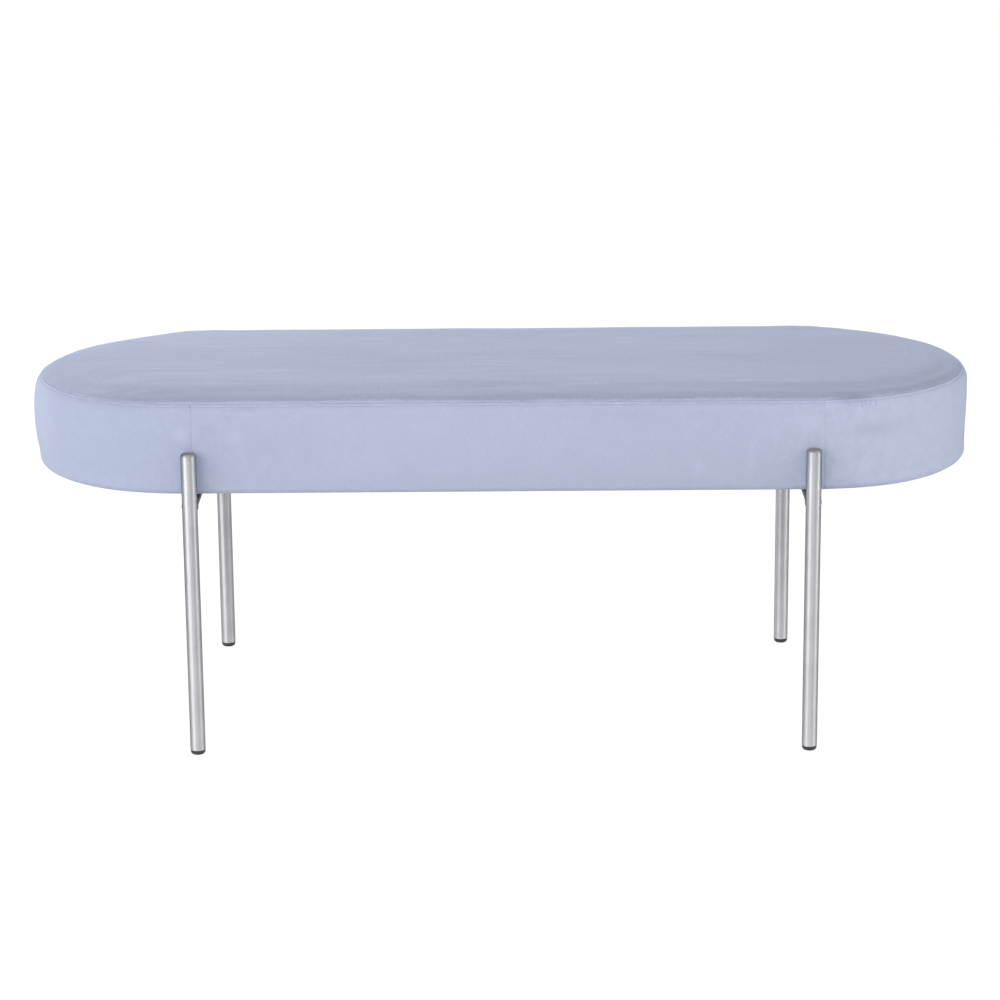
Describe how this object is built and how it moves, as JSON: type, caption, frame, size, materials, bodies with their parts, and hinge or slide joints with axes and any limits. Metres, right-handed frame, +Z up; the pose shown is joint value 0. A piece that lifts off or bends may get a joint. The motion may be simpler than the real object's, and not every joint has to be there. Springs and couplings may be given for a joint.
{
  "type": "upholstered bench ottoman",
  "caption": "Oblong velvet bench seat with half-round ends and a rolled rim, carried by brushed steel leg frames whose upright tubes stand outside the seat.",
  "frame": {"origin": "on the floor under the middle of the seat", "axes": "+Z up, +X along the seat's length, -Y towards the front"},
  "size_m": [1.2, 0.4686, 0.4605],
  "materials": {
    "velvet": "matte",
    "foam": "matte",
    "wadding": "matte",
    "plywood": "matte",
    "dust_cloth": "matte",
    "steel": "satin",
    "zinc_steel": "satin",
    "staple_steel": "satin",
    "foot_plastic": "satin"
  },
  "bodies": {
    "root": {"cover_top_panel": "velvet", "cover_band_front": "velvet", "cover_band_back": "velvet", "cover_band_left": "velvet", "cover_band_right": "velvet", "foam_block": "foam", "wadding": "wadding", "seat_board": "plywood", "dust_cover": "dust_cloth", "leg_front_left": "steel", "leg_back_left": "steel", "leg_front_right": "steel", "leg_back_right": "steel", "crossbar_left": "steel", "crossbar_right": "steel", "mounting_plate_front_left": "steel", "mounting_plate_back_left": "steel", "mounting_plate_front_right": "steel", "mounting_plate_back_right": "steel", "leg_caps": "steel", "plate_bolts": "zinc_steel", "tee_nuts": "zinc_steel", "hem_staples": "staple_steel", "dust_cover_staples": "staple_steel", "feet": "foot_plastic"}
  },
  "joints": []
}
